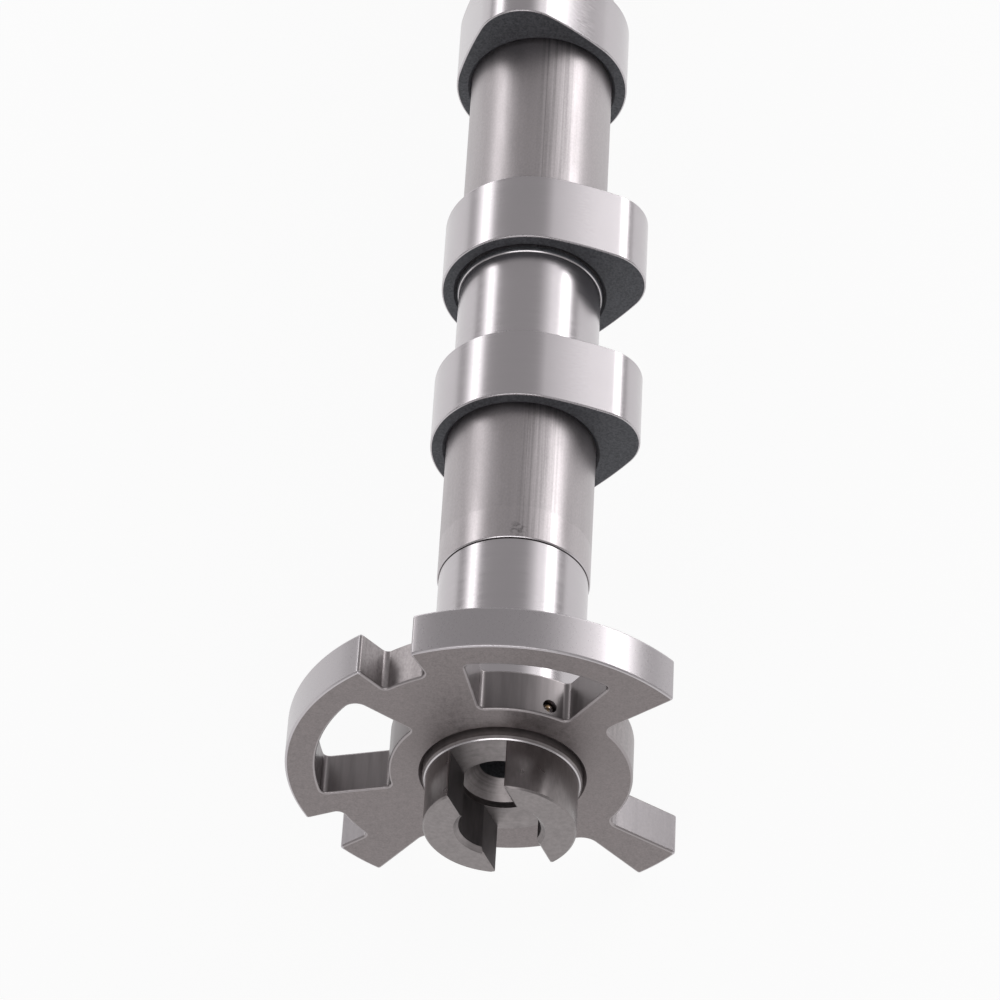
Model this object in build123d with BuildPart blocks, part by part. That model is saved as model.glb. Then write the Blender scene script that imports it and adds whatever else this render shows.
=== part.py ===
from build123d import *
from math import atan2, cos, degrees, radians, sin, sqrt
import os

# Built-up camshaft of a four-cylinder engine: a steel tube with eight pressed-on cam lobes, a plug at
# each end, and a sintered trigger wheel behind the slotted claw that drives a pump.
# Millimetres. The shaft axis is the Y axis, -Y towards the claw, +Z up. The origin is on the axis, in the
# middle of the bearing journal beside the trigger wheel. Angles turn from +X towards +Z.

# Tube
tube_radius = 13.5
tube_wall = 3.5
tube_end_chamfer = 0.3
tube_past_last_lobe = 20.0
journal_step = 0.35
journal_margin = 0.65

# Cam lobes
cylinder_pitch = 90.0
valve_spacing = 37.5
lobe_width = 15.0
lobe_wall = 2.9
cam_lift = 5.5
nose_radius = 9.1
flank_radius = 78.8
first_lobe_gap = 29.8
first_nose_angle = 12.8
cylinder_phases = (0, 90, 270, 180)

# Journal and seat of the claw end piece
end_journal_length = 33.1
end_journal_step = 0.3
seat_step = 0.45
seat_land = 1.2
plug_length = 20.0

# Claw
ring_chamfer = 0.65
jaw_height = 9.4
slot_width = 10.0
slot_angle = 107.0
slot_mouth_chamfer = 0.3
counterbore_radius = 7.0
counterbore_depth = 1.2
counterbore_bevel = 0.8
claw_bore_radius = 4.0
claw_bore_depth = 28.0

# Trigger wheel
wheel_radius = 37.15
wheel_thickness = 8.0
wheel_bore_chamfer = 0.7
hub_wall = 8.55
tooth_height = 6.55
wide_tooth_angle = 74.3
narrow_tooth_angle = 14.4
first_tooth_angle = 37.1
notch_corner_radius = 1.5
side_root_radius = 2.1
leg_root_radius = 3.0
tooth_tip_radius = 0.5

# Windows in the trigger wheel
window_hub_wall = 5.85
window_rim_wall = 5.2
window_corner_radius = 1.4
top_window_angles = (53.5, 98.6)
left_window_angles = (138.2, 190.7)

# Wheel pin
pin_radius = 1.25
pin_angle = 63.4
pin_set_back = 2.1
pin_depth_in_plug = 4.0
pin_recess = 0.8

# Drive end piece
drive_journal_length = 20.0
collar_thickness = 6.0
nose_step = 2.7
nose_end_length = 9.0
nose_end_chamfer = 1.0
bolt_hole_radius = 4.25
bolt_hole_depth = 26.0
bolt_hole_chamfer = 0.8

# Drive dowel
dowel_radius = 2.0
dowel_shank_step = 0.2
dowel_wall = 0.8
dowel_stand_out = 4.0
dowel_depth = 4.5
dowel_chamfer = 0.4
dowel_angle = 40.0

# How far a cutter reaches past the metal, and how near an edge lies to the place where it is looked for
cut_margin = 1.0
near = 0.01

os.makedirs("parts", exist_ok=True)

# Radii that follow from the sizes above
bore_radius = tube_radius - tube_wall
journal_radius = tube_radius - journal_step
end_journal_radius = tube_radius - end_journal_step
seat_radius = end_journal_radius + seat_step
claw_radius = seat_radius - ring_chamfer
hub_radius = seat_radius + hub_wall
notch_floor_radius = wheel_radius - tooth_height
cam_base_radius = tube_radius + lobe_wall
nose_offset = cam_base_radius + cam_lift - nose_radius
nose_end_radius = end_journal_radius - nose_step
dowel_shank_radius = dowel_radius + dowel_shank_step
dowel_pitch_radius = nose_end_radius + dowel_wall + dowel_shank_radius
collar_radius = dowel_pitch_radius + dowel_shank_radius + dowel_wall

# Places along the shaft, from the claw to the drive end
cylinder_count = len(cylinder_phases)
tube_start = end_journal_length / 2
wheel_back = -end_journal_length / 2
wheel_front = wheel_back - wheel_thickness
ring_plane = wheel_front - seat_land
slot_floor = ring_plane - ring_chamfer
claw_front = slot_floor - jaw_height
cone_start = slot_floor + counterbore_depth
bore_bottom = slot_floor + claw_bore_depth
first_lobe_front = tube_start + first_lobe_gap
last_lobe_back = first_lobe_front + (cylinder_count - 1) * cylinder_pitch + valve_spacing + lobe_width
tube_finish = last_lobe_back + tube_past_last_lobe
collar_start = tube_finish + drive_journal_length
collar_face = collar_start + collar_thickness
drive_tip = collar_face + nose_end_length


def across(y, turn=0.0):
    """Plane across the shaft at y, facing the claw, with its own x axis turned from +X towards +Z."""
    angle = radians(turn)
    return Plane(origin=(0, y, 0), x_dir=(cos(angle), 0, sin(angle)), z_dir=(0, -1, 0))


def radial(y, turn, height):
    """Plane at a height above the axis, facing outwards along the given angle."""
    angle = radians(turn)
    outwards = Vector(cos(angle), 0, sin(angle))
    return Plane(origin=outwards * height + Vector(0, y, 0), x_dir=(0, 1, 0), z_dir=outwards)


def corners_at(part, radius, angles):
    """Edges along the shaft that stand at a radius from its axis, at any of some angles in degrees."""
    places = [Vector(radius * cos(radians(angle)), 0, radius * sin(radians(angle))) for angle in angles]
    return part.edges().filter_by(Axis.Y).filter_by(
        lambda e: min((Vector(e.center().X, 0, e.center().Z) - place).length for place in places) < near
    )


def rings_at(part, y, radius):
    """Round edges of a turned part at a place along the shaft and of a radius."""
    rings = part.edges().filter_by(GeomType.CIRCLE)
    return rings.filter_by(lambda e: abs(e.arc_center.Y - y) < near and abs(e.radius - radius) < near)


# Tube with its ground bearing journals
with BuildPart() as tube:
    with BuildSketch(Plane.YZ):
        with Locations((tube_start, bore_radius)):
            Rectangle(tube_finish - tube_start, tube_wall, align=(Align.MIN, Align.MIN))
    revolve(axis=Axis.Y)
    for cylinder in range(cylinder_count):
        groove_start = first_lobe_front + cylinder * cylinder_pitch + lobe_width + journal_margin
        groove_finish = first_lobe_front + cylinder * cylinder_pitch + valve_spacing - journal_margin
        with BuildSketch(Plane.YZ):
            with BuildLine():
                Polyline(
                    (groove_start, tube_radius),
                    (groove_start + journal_step, journal_radius),
                    (groove_finish - journal_step, journal_radius),
                    (groove_finish, tube_radius),
                    close=True,
                )
            make_face()
        revolve(axis=Axis.Y, mode=Mode.SUBTRACT)
    chamfer(rings_at(tube, tube_start, tube_radius), tube_end_chamfer)
    chamfer(rings_at(tube, tube_finish, tube_radius), tube_end_chamfer)
tube.part.label = "tube"
export_step(tube.part, "parts/tube.step")

# Cam outline: base circle, two convex flanks and nose circle, each tangent to the next
to_base = flank_radius - cam_base_radius
to_nose = flank_radius - nose_radius
flank_x = (to_base**2 - to_nose**2 + nose_offset**2) / (2 * nose_offset)
flank_y = sqrt(to_base**2 - flank_x**2)
base_tangent = degrees(atan2(flank_y, -flank_x))
nose_tangent = degrees(atan2(flank_y, nose_offset - flank_x))
flank_arc = base_tangent - nose_tangent
with BuildSketch() as cam_outline:
    with BuildLine():
        CenterArc((0, 0), cam_base_radius, base_tangent, 360 - 2 * base_tangent)
        CenterArc((flank_x, flank_y), flank_radius, -base_tangent, flank_arc)
        CenterArc((nose_offset, 0), nose_radius, -nose_tangent, 2 * nose_tangent)
        CenterArc((flank_x, -flank_y), flank_radius, nose_tangent, flank_arc)
    make_face()
    Circle(tube_radius, mode=Mode.SUBTRACT)

# Lobes, two for each cylinder
for index in range(2 * cylinder_count):
    cylinder, side = divmod(index, 2)
    lobe_front = first_lobe_front + cylinder * cylinder_pitch + side * valve_spacing
    nose_angle = first_nose_angle + cylinder_phases[cylinder]
    with BuildPart() as lobe:
        with BuildSketch(across(lobe_front + lobe_width, nose_angle)):
            add(cam_outline.sketch)
        extrude(amount=lobe_width)
    lobe.part.label = f"lobe_{index + 1}"
    export_step(lobe.part, f"parts/lobe_{index + 1}.step")

# Trigger wheel: teeth and notches on one outline, two windows, chamfered bore and the pin hole
tooth_angles = [wide_tooth_angle, wide_tooth_angle, narrow_tooth_angle, narrow_tooth_angle]
tooth_count = len(tooth_angles)
tooth_starts = [first_tooth_angle + tooth * 360 / tooth_count for tooth in range(tooth_count)]
tooth_ends = [start + angle for start, angle in zip(tooth_starts, tooth_angles)]
sectors = list(zip(tooth_starts, tooth_ends, [wheel_radius] * tooth_count))
sectors.append((tooth_starts[0], tooth_ends[2], notch_floor_radius))
window_inner_radius = seat_radius + window_hub_wall
window_outer_radius = wheel_radius - window_rim_wall
pin_y = wheel_front + pin_set_back
pin_bottom = seat_radius - pin_depth_in_plug
pin_top = window_inner_radius - pin_recess
with BuildPart() as trigger_wheel:
    with BuildSketch(across(wheel_back)):
        Circle(hub_radius)
        for start, finish, radius in sectors:
            with BuildLine():
                tooth_arc = CenterArc((0, 0), radius, start, finish - start)
                Line((0, 0), tooth_arc @ 0)
                Line((0, 0), tooth_arc @ 1)
            make_face()
        for start, finish in (top_window_angles, left_window_angles):
            with BuildLine():
                outer_arc = CenterArc((0, 0), window_outer_radius, start, finish - start)
                inner_arc = CenterArc((0, 0), window_inner_radius, start, finish - start)
                Line(outer_arc @ 0, inner_arc @ 0)
                Line(outer_arc @ 1, inner_arc @ 1)
            make_face(mode=Mode.SUBTRACT)
        Circle(seat_radius, mode=Mode.SUBTRACT)
    extrude(amount=wheel_thickness)
    notch_angles = (tooth_ends[0], tooth_starts[1], tooth_ends[1], tooth_starts[2])
    window_angles = top_window_angles + left_window_angles
    fillet(corners_at(trigger_wheel, hub_radius, (tooth_ends[2], tooth_starts[3])), leg_root_radius)
    fillet(corners_at(trigger_wheel, hub_radius, (tooth_ends[3], tooth_starts[0])), side_root_radius)
    fillet(corners_at(trigger_wheel, notch_floor_radius, notch_angles), notch_corner_radius)
    fillet(corners_at(trigger_wheel, wheel_radius, tooth_starts + tooth_ends), tooth_tip_radius)
    fillet(corners_at(trigger_wheel, window_inner_radius, window_angles), window_corner_radius)
    fillet(corners_at(trigger_wheel, window_outer_radius, window_angles), window_corner_radius)
    chamfer(rings_at(trigger_wheel, wheel_front, seat_radius), wheel_bore_chamfer)
    with BuildSketch(radial(pin_y, pin_angle, 0)):
        Circle(pin_radius)
    extrude(amount=window_inner_radius + cut_margin, mode=Mode.SUBTRACT)
trigger_wheel.part.label = "trigger_wheel"
export_step(trigger_wheel.part, "parts/trigger_wheel.step")

# Claw end piece: plug, journal and wheel seat turned as one, then the slot, counterbore, cone and bore
with BuildPart() as claw_end_piece:
    with BuildSketch(Plane.YZ):
        with BuildLine():
            Polyline(
                (claw_front, 0),
                (claw_front, claw_radius),
                (slot_floor, claw_radius),
                (ring_plane, seat_radius),
                (wheel_back, seat_radius),
                (wheel_back, end_journal_radius),
                (tube_start, end_journal_radius),
                (tube_start, bore_radius),
                (tube_start + plug_length, bore_radius),
                (tube_start + plug_length, 0),
                close=True,
            )
        make_face()
    revolve(axis=Axis.Y)
    chamfer(rings_at(claw_end_piece, claw_front, claw_radius), slot_mouth_chamfer)
    with BuildSketch(across(slot_floor, slot_angle)):
        Rectangle(2 * (claw_radius + cut_margin), slot_width)
    extrude(amount=jaw_height + cut_margin, mode=Mode.SUBTRACT)
    slot_mouth = claw_end_piece.faces().sort_by(Axis.Y)[:2].edges().filter_by(GeomType.LINE)
    chamfer(slot_mouth, slot_mouth_chamfer)
    with BuildSketch(Plane.YZ):
        with BuildLine():
            Polyline(
                (claw_front, 0),
                (claw_front, counterbore_radius + counterbore_bevel),
                (claw_front + counterbore_bevel, counterbore_radius),
                (cone_start, counterbore_radius),
                (cone_start + counterbore_radius - claw_bore_radius, claw_bore_radius),
                (bore_bottom, claw_bore_radius),
                (bore_bottom, 0),
                close=True,
            )
        make_face()
    revolve(axis=Axis.Y, mode=Mode.SUBTRACT)
    with BuildSketch(radial(pin_y, pin_angle, pin_bottom)):
        Circle(pin_radius)
    extrude(amount=pin_depth_in_plug + cut_margin, mode=Mode.SUBTRACT)
claw_end_piece.part.label = "claw_end_piece"
export_step(claw_end_piece.part, "parts/claw_end_piece.step")

# Pin that locks the trigger wheel to the end piece
with BuildPart() as wheel_pin:
    with BuildSketch(radial(pin_y, pin_angle, pin_bottom)):
        Circle(pin_radius)
    extrude(amount=pin_top - pin_bottom)
wheel_pin.part.label = "wheel_pin"
export_step(wheel_pin.part, "parts/wheel_pin.step")

# Drive end piece: plug, journal, thrust collar and pilot nose turned as one, with the bolt hole
with BuildPart() as drive_end_piece:
    with BuildSketch(Plane.YZ):
        with BuildLine():
            Polyline(
                (tube_finish - plug_length, 0),
                (tube_finish - plug_length, bore_radius),
                (tube_finish, bore_radius),
                (tube_finish, end_journal_radius),
                (collar_start, end_journal_radius),
                (collar_start, collar_radius),
                (collar_face, collar_radius),
                (collar_face, nose_end_radius),
                (drive_tip, nose_end_radius),
                (drive_tip, 0),
                close=True,
            )
        make_face()
    revolve(axis=Axis.Y)
    chamfer(rings_at(drive_end_piece, drive_tip, nose_end_radius), nose_end_chamfer)
    hole_bottom = drive_tip - bolt_hole_depth
    with BuildSketch(Plane.YZ):
        with BuildLine():
            Polyline(
                (drive_tip, 0),
                (drive_tip, bolt_hole_radius + bolt_hole_chamfer),
                (drive_tip - bolt_hole_chamfer, bolt_hole_radius),
                (hole_bottom, bolt_hole_radius),
                (hole_bottom, 0),
                close=True,
            )
        make_face()
    revolve(axis=Axis.Y, mode=Mode.SUBTRACT)
    with BuildSketch(across(collar_face, dowel_angle)):
        with Locations((dowel_pitch_radius, 0)):
            Circle(dowel_shank_radius)
    extrude(amount=dowel_depth, mode=Mode.SUBTRACT)
drive_end_piece.part.label = "drive_end_piece"
export_step(drive_end_piece.part, "parts/drive_end_piece.step")

# Dowel that sets the angle of the drive
with BuildPart() as drive_dowel:
    with BuildSketch(across(collar_face, dowel_angle)):
        with Locations((dowel_pitch_radius, 0)):
            Circle(dowel_shank_radius)
    extrude(amount=dowel_depth)
    with BuildSketch(across(collar_face, dowel_angle)):
        with Locations((dowel_pitch_radius, 0)):
            Circle(dowel_radius)
    extrude(amount=-dowel_stand_out)
    chamfer(drive_dowel.edges().sort_by(Axis.Y)[-1], dowel_chamfer)
drive_dowel.part.label = "drive_dowel"
export_step(drive_dowel.part, "parts/drive_dowel.step")
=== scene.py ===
"""Looks of a built-up camshaft: drawn steel tube, eight pressed-on lobes, sintered trigger wheel, turned claw
and turned drive end.

Metres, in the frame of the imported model: the shaft axis is Y, -Y towards the claw, +Z up, and angles turn
from +X towards +Z."""
import bmesh
import bpy
import numpy as np
from functools import cache, partial
from math import acos, asin, atan2, ceil, cos, pi, radians, sin, sqrt
from bpy.props import FloatProperty, FloatVectorProperty, PointerProperty
from mathutils import Matrix, Vector


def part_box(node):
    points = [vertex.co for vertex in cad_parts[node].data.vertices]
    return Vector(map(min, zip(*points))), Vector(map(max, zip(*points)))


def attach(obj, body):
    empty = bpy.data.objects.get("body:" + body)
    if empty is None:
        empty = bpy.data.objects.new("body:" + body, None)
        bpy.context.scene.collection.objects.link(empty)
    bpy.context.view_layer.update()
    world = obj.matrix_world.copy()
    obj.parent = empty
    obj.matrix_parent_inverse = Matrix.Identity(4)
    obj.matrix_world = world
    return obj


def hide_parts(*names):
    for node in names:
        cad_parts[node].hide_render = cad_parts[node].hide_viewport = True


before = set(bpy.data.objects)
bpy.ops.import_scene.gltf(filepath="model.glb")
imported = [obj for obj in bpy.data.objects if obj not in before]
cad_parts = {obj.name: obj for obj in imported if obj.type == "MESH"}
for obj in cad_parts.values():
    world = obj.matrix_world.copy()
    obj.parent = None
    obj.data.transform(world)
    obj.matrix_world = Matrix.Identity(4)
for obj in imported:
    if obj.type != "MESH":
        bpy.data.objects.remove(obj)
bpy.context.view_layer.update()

bl_info = {
    "name": "Built-up camshaft",
    "version": (1, 0, 0),
    "blender": (4, 5, 0),
    "location": "3D View > Sidebar > Camshaft",
    "description": "Builds the finished surfaces of a built-up camshaft around its packed solids",
    "category": "Object",
}

# Lengths in metres, fineness of the meshes and axes of the turned pieces
MM = 0.001
GUARD = 0.02 * MM
MERGE = 0.002 * MM
SAGITTA = 0.002 * MM
COARSEST = 0.01
TURNED_COLUMNS = 192
SMALL_COLUMNS = 64
DRILL_COLUMNS = 48
DRILL_MARGIN = 1 * MM
ROUND_STEPS = 5
DOME_STEPS = 12
CHAMFER_GUARD = 0.06
LONGEST_EDGE = 0.45
SHARP_ANGLE = radians(40)
BODY = "root"
AXES = (Vector((0, 1, 0)), Vector((1, 0, 0)), Vector((0, 0, 1)))

# Middle range of a noise pattern, and places of the marks and rims in the finishes
MIDDLE = (0.3, 0.7)
SEAM_ANGLE = radians(81)
SEAM_HALF = radians(0.7)
LINED_RISE = (radians(52), radians(60))
LINED_FALL = (radians(82), radians(88))
TUBE_MIDDLE = 202.7 * MM
BAND_RISE = (179.9 * MM, 180.2 * MM)
BORDER_WAVE = 1.6 * MM
SMUDGE = (1.29 * MM, 18.3 * MM, 13.44 * MM)
SMUDGE_FALL = (0.6 * MM, 2.0 * MM)
RIM_RISE = (37.0 * MM, 37.1 * MM)
RIM_EDGE_RISE = (36.4 * MM, 36.5 * MM)
# Heights over which the outer walls low on the wheel turn lighter: painted light on the narrow teeth's flanks
LIT_FLANK_FALL = (-13.0 * MM, -16.0 * MM)


# Sizes and colours that a user may change


def from_hex(colour):
    """Linear colour of an sRGB hex value such as "#8a8482"."""
    shares = np.array([int(colour[i:i + 2], 16) for i in (1, 3, 5)]) / 255
    linear = np.where(shares <= 0.04045, shares / 12.92, ((shares + 0.055) / 1.055) ** 2.4)
    return tuple(float(share) for share in linear)


def size(name, description, millimetres):
    """A length that a user may change, given in millimetres."""
    length = millimetres * MM
    return FloatProperty(name=name, description=description, default=length, unit="LENGTH", precision=5)


def turn(name, description, angle):
    """An angle that a user may change, given in degrees."""
    return FloatProperty(name=name, description=description, default=radians(angle), subtype="ANGLE")


def paint(name, description, colour):
    """A colour that a user may change, given as an sRGB hex value."""
    return FloatVectorProperty(
        name=name, description=description, default=from_hex(colour), size=3, subtype="COLOR", min=0, max=1
    )


class ShaftSizes(bpy.types.PropertyGroup):
    """Sizes of the tube and of the pieces in its ends."""

    tube_wall: size("Tube wall", "Wall of the drawn tube", 3.5)
    tube_edge: size("Tube end edge", "Chamfer at each end of the tube", 0.18)
    journal_step: size("Journal step", "Depth of a ground journal under the tube", 0.35)
    journal_margin: size("Journal margin", "Full tube left between a lobe and its journal", 0.65)
    end_journal: size("End journal radius", "Radius of both end journals", 13.2)
    shoulder_edge: size("Shoulder edge", "Chamfer of an end journal at the tube", 0.18)
    collar_thickness: size("Collar thickness", "Thickness of the thrust collar", 6.0)
    collar_radius: size("Collar radius", "Radius of the thrust collar", 16.5)
    nose_length: size("Nose length", "Length of the pilot nose past the collar", 9.0)
    nose_radius: size("Nose radius", "Radius of the pilot nose", 10.5)
    nose_edge: size("Nose edge", "Chamfer of the pilot nose", 1.0)
    hole_radius: size("Bolt hole radius", "Radius of the hole in the pilot nose", 4.25)
    hole_depth: size("Bolt hole depth", "Depth of the hole in the pilot nose", 26.0)
    hole_edge: size("Bolt hole edge", "Chamfer of the bolt hole", 0.8)
    thread_pitch: size("Thread pitch", "Pitch of the thread in the bolt hole", 1.5)
    thread_depth: size("Thread depth", "Depth of the thread in the bolt hole", 0.6)
    dowel_radius: size("Dowel radius", "Radius of the free end of the dowel", 2.0)
    dowel_shank: size("Dowel shank radius", "Radius of the dowel in the collar", 2.2)
    dowel_pitch: size("Dowel pitch radius", "Distance of the dowel from the shaft axis", 13.5)
    dowel_depth: size("Dowel depth", "How deep the dowel sits in the collar", 4.5)
    dowel_edge: size("Dowel edge", "Chamfer of the dowel's free end", 0.4)
    dowel_angle: turn("Dowel angle", "Where the dowel stands round the shaft", 40)
    small_edge: size("Turned edge", "Radius of the turned pieces' broken edges", 0.12)


class LobeSizes(bpy.types.PropertyGroup):
    """Sizes of the cam lobes."""

    base_radius: size("Base radius", "Radius of the base circle", 16.4)
    lift: size("Lift", "Lift of the cam", 5.5)
    nose_radius: size("Nose radius", "Radius of the nose", 9.1)
    flank_radius: size("Flank radius", "Radius of each flank", 78.8)
    rim_edge: size("Rim edge", "Radius of the broken edge of the running face", 0.28)
    bore_edge: size("Bore edge", "Chamfer of the lobe's bore", 0.7)
    first_nose: turn("First nose angle", "Where the first lobe's nose points", 12.8)


class WheelSizes(bpy.types.PropertyGroup):
    """Sizes of the trigger wheel and its pin."""

    tooth_height: size("Tooth height", "Height of a tooth over the notch floor", 6.55)
    hub_radius: size("Hub radius", "Radius of the hub between the narrow teeth", 22.2)
    bore_radius: size("Bore radius", "Radius of the seat of the wheel", 13.65)
    bore_edge: size("Bore edge", "Chamfer of the bore at the claw side", 0.7)
    wide_tooth: turn("Wide tooth", "Angle of the two wide teeth", 74.3)
    narrow_tooth: turn("Narrow tooth", "Angle of the two narrow teeth", 14.4)
    first_tooth: turn("First tooth", "Where the first wide tooth starts", 37.1)
    notch_corner: size("Notch corner", "Corner radius where a notch begins", 1.3)
    notch_root: size("Notch root", "Corner radius where a notch ends", 1.0)
    side_root: size("Side root", "Root radius of the teeth towards +X", 2.1)
    leg_root: size("Leg root", "Root radius of the two narrow teeth inside", 3.0)
    tooth_tip: size("Tooth tip", "Corner radius of the tooth tips", 0.5)
    window_inner: size("Window inner radius", "Inner radius of the windows", 19.5)
    window_outer: size("Window outer radius", "Outer radius of the windows", 31.95)
    window_corner: size("Window corner", "Corner radius of the windows", 1.1)
    window_bend: size("Window bend", "Upper outer corner radius of the left window", 2.2)
    top_window: turn("Upper window start", "Where the upper window starts", 53.5)
    top_window_end: turn("Upper window end", "Where the upper window ends", 98.6)
    left_window: turn("Left window start", "Where the left window starts", 138.2)
    left_window_end: turn("Left window end", "Where the left window ends", 190.7)
    rim_edge: size("Rim edge", "Radius of the tumbled edges of the wheel", 0.4)
    pin_radius: size("Pin radius", "Radius of the locking pin", 1.25)
    pin_angle: turn("Pin angle", "Where the pin stands round the shaft", 63.4)
    pin_set_back: size("Pin set back", "Distance of the pin from the wheel's front", 2.1)
    pin_bottom: size("Pin bottom", "Where the pin ends inside the plug", 9.65)
    pin_recess: size("Pin recess", "Depth of the pin's tip under the window wall", 0.4)
    pin_dome: size("Pin dome", "Height of the pin's domed end", 0.9)


class ClawSizes(bpy.types.PropertyGroup):
    """Sizes of the slotted claw."""

    jaw_height: size("Jaw height", "Height of the jaws over the slot floor", 9.4)
    jaw_radius: size("Jaw radius", "Outer radius of the jaws", 13.0)
    slot_width: size("Slot width", "Width of the slot between the jaws", 10.0)
    slot_angle: turn("Slot angle", "Direction of the slot", 107)
    slot_edge: size("Slot edge", "Chamfer of the jaws' edges", 0.3)
    corner_radius: size("Corner radius", "Radius of the jaws' upright outer corners", 0.3)
    inner_corner: size("Inner corner", "Radius of the jaws' upright inner corners", 0.12)
    bore_radius: size("Counterbore radius", "Radius of the counterbore", 7.0)
    bore_depth: size("Counterbore depth", "Depth under the slot floor", 1.2)
    bore_bevel: size("Counterbore bevel", "Bevel of the counterbore in the jaws", 0.8)
    hole_radius: size("Hole radius", "Radius of the hole under the cone", 4.0)
    hole_depth: size("Hole depth", "Depth of the hole under the slot floor", 28.0)
    ring_edge: size("Ring edge", "Height of the bevel round the jaws", 0.65)
    foot: size("Jaw foot", "Depth of the jaws' roots in the piece", 0.35)


class FinishColours(bpy.types.PropertyGroup):
    """Colours of the finishes."""

    ground: paint("Ground steel", "Journals and running faces", "#c4bfc2")
    drawn: paint("Drawn steel", "Outside of the tube", "#b9b3b5")
    turned: paint("Turned steel", "Turned faces of the end pieces", "#948e8e")
    sintered: paint("Sintered steel", "Faces of the trigger wheel", "#8b8484")
    pressed: paint("Pressed walls", "Walls of the trigger wheel", "#9c9697")
    # Also the painted shade beside the lobes, down the claw's hole and under the tube's end
    scale: paint("Dark end face", "Unground end faces of the lobes", "#56575b")
    # The slot walls' darker colour is painted shade inside the slot
    slot: paint("Slot walls", "Walls of the slot and the counterbore", "#6f6b6c")
    stain: paint("Pin film", "Brown film on the locking pin", "#8a7358")
    floor: paint("Floor", "Colour of the plain floor", "#f4f4f4")


# Meshes from grids, outlines and turned profiles


def in_scene(name, data):
    """A new object in the scene."""
    made = bpy.data.objects.new(name, data)
    bpy.context.scene.collection.objects.link(made)
    return made


def mesh_piece(name, blocks, materials, fills=()):
    """A closed piece from grids of points. Each block is (points, finish numbers): rows of closed columns,
    each joined to the next, with a number for each stretch between two rows or for each of its faces. Each
    fill is a place along Y, where one flat face closes the open rims, and its finish."""
    corners, faces, numbers, used = [], [], [], 0
    for points, row_finishes in blocks:
        rows, columns = points.shape[:2]
        index = used + np.arange(rows * columns).reshape(rows, columns)
        ahead = np.roll(index, -1, axis=1)
        quads = np.stack([index[:-1], ahead[:-1], ahead[1:], index[1:]], axis=2)
        corners.append(points.reshape(-1, 3))
        faces.append(quads.reshape(-1, 4))
        numbers.append(np.broadcast_to(np.reshape(row_finishes, (rows - 1, -1)), (rows - 1, columns)).ravel())
        used += rows * columns
    mesh = bpy.data.meshes.new(name)
    mesh.from_pydata(np.concatenate(corners), [], np.concatenate(faces).tolist())
    mesh.polygons.foreach_set("material_index", np.concatenate(numbers).astype(np.int32))
    shell = bmesh.new()
    shell.from_mesh(mesh)
    bmesh.ops.remove_doubles(shell, verts=shell.verts, dist=MERGE)
    for place, finish in fills:
        rim = [edge for edge in shell.edges if edge.is_boundary and abs(edge.verts[0].co.y - place) < MERGE]
        filled = bmesh.ops.triangle_fill(shell, use_beauty=True, edges=rim)
        for face in filled["geom"]:
            if isinstance(face, bmesh.types.BMFace):
                face.material_index = finish
    bmesh.ops.recalc_face_normals(shell, faces=shell.faces)
    shell.to_mesh(mesh)
    shell.free()
    for material in materials:
        mesh.materials.append(material)
    return in_scene(name, smoothed(mesh))


def smoothed(mesh):
    """The mesh with smooth shading that breaks at sharp edges."""
    mesh.shade_smooth()
    mesh.set_sharp_from_angle(angle=SHARP_ANGLE)
    return mesh


def bored(piece, tool):
    """The piece with the closed tool taken out of it, as a drill would."""
    cut = piece.modifiers.new("cut", "BOOLEAN")
    cut.operation = "DIFFERENCE"
    cut.solver = "EXACT"
    cut.object = tool
    seen = piece.evaluated_get(bpy.context.evaluated_depsgraph_get())
    finished = bpy.data.meshes.new_from_object(seen)
    piece.modifiers.clear()
    piece.data = smoothed(finished)
    bpy.data.objects.remove(tool)
    return piece


def arc(centre, radius, start, finish):
    """Points centre + radius (cos a, sin a) for a from start to finish, as close as the sagitta asks, and
    their outward normals: away from the centre where the arc turns left, and to it where it turns right."""
    step = 2 * acos(1 - min(SAGITTA / radius, COARSEST))
    angles = np.linspace(start, finish, max(3, ceil(abs(finish - start) / step) + 1))
    spokes = np.stack([np.cos(angles), np.sin(angles)], axis=1)
    return np.asarray(centre) + radius * spokes, np.sign(finish - start) * spokes


def outline(arcs):
    """One closed outline from arcs that follow each other, with doubled points left out."""
    points, normals = (np.concatenate(part) for part in zip(*arcs))
    fresh = np.linalg.norm(points - np.roll(points, 1, axis=0), axis=1) > MERGE
    return points[fresh], normals[fresh]


def polar(radius, angle):
    """The point (radius cos a, radius sin a)."""
    return radius * cos(angle), radius * sin(angle)


def edge_rows(broken, flat):
    """(inset, depth) rows of an edge from face to wall: a quarter round, inset 1 - sin a and depth 1 - cos a,
    or a flat chamfer at 45 degrees, times the size, with a guard row on each side that keeps the flats
    flat."""
    if flat:
        depth = np.array([0, CHAMFER_GUARD, 1 - CHAMFER_GUARD, 1])
        inset = 1 - depth
    else:
        sweep = np.linspace(0, pi / 2, ROUND_STEPS)
        inset, depth = 1 - np.sin(sweep), 1 - np.cos(sweep)
    rows = np.stack([inset, depth], axis=1) * broken
    return np.concatenate([[[broken + GUARD, 0]], rows, [[0, broken + GUARD]]])


def wall(shape, into, front, back, front_edge, back_edge, numbers):
    """The wall of a plate along one outline: a point moves into the metal by its row's inset and stands at
    the row's depth behind the front face or before the back face. numbers are the finishes of face, edge and
    wall. An edge is (size, flat)."""
    points, normals = shape
    face, edge, side = numbers
    front_rows = edge_rows(*front_edge)
    back_rows = edge_rows(*back_edge)[::-1]
    inset = np.concatenate([front_rows[:, 0], back_rows[:, 0]])
    along = np.concatenate([front + front_rows[:, 1], back - back_rows[:, 1]])
    moved = points[None] + into * inset[:, None, None] * normals[None]
    grid = np.stack([moved[..., 0], np.broadcast_to(along[:, None], moved.shape[:2]), moved[..., 1]], axis=2)
    front_numbers = [face] + [edge] * (len(front_rows) - 3) + [side]
    back_numbers = [side] + [edge] * (len(back_rows) - 3) + [face]
    return grid, np.array(front_numbers + [side] + back_numbers)


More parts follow.
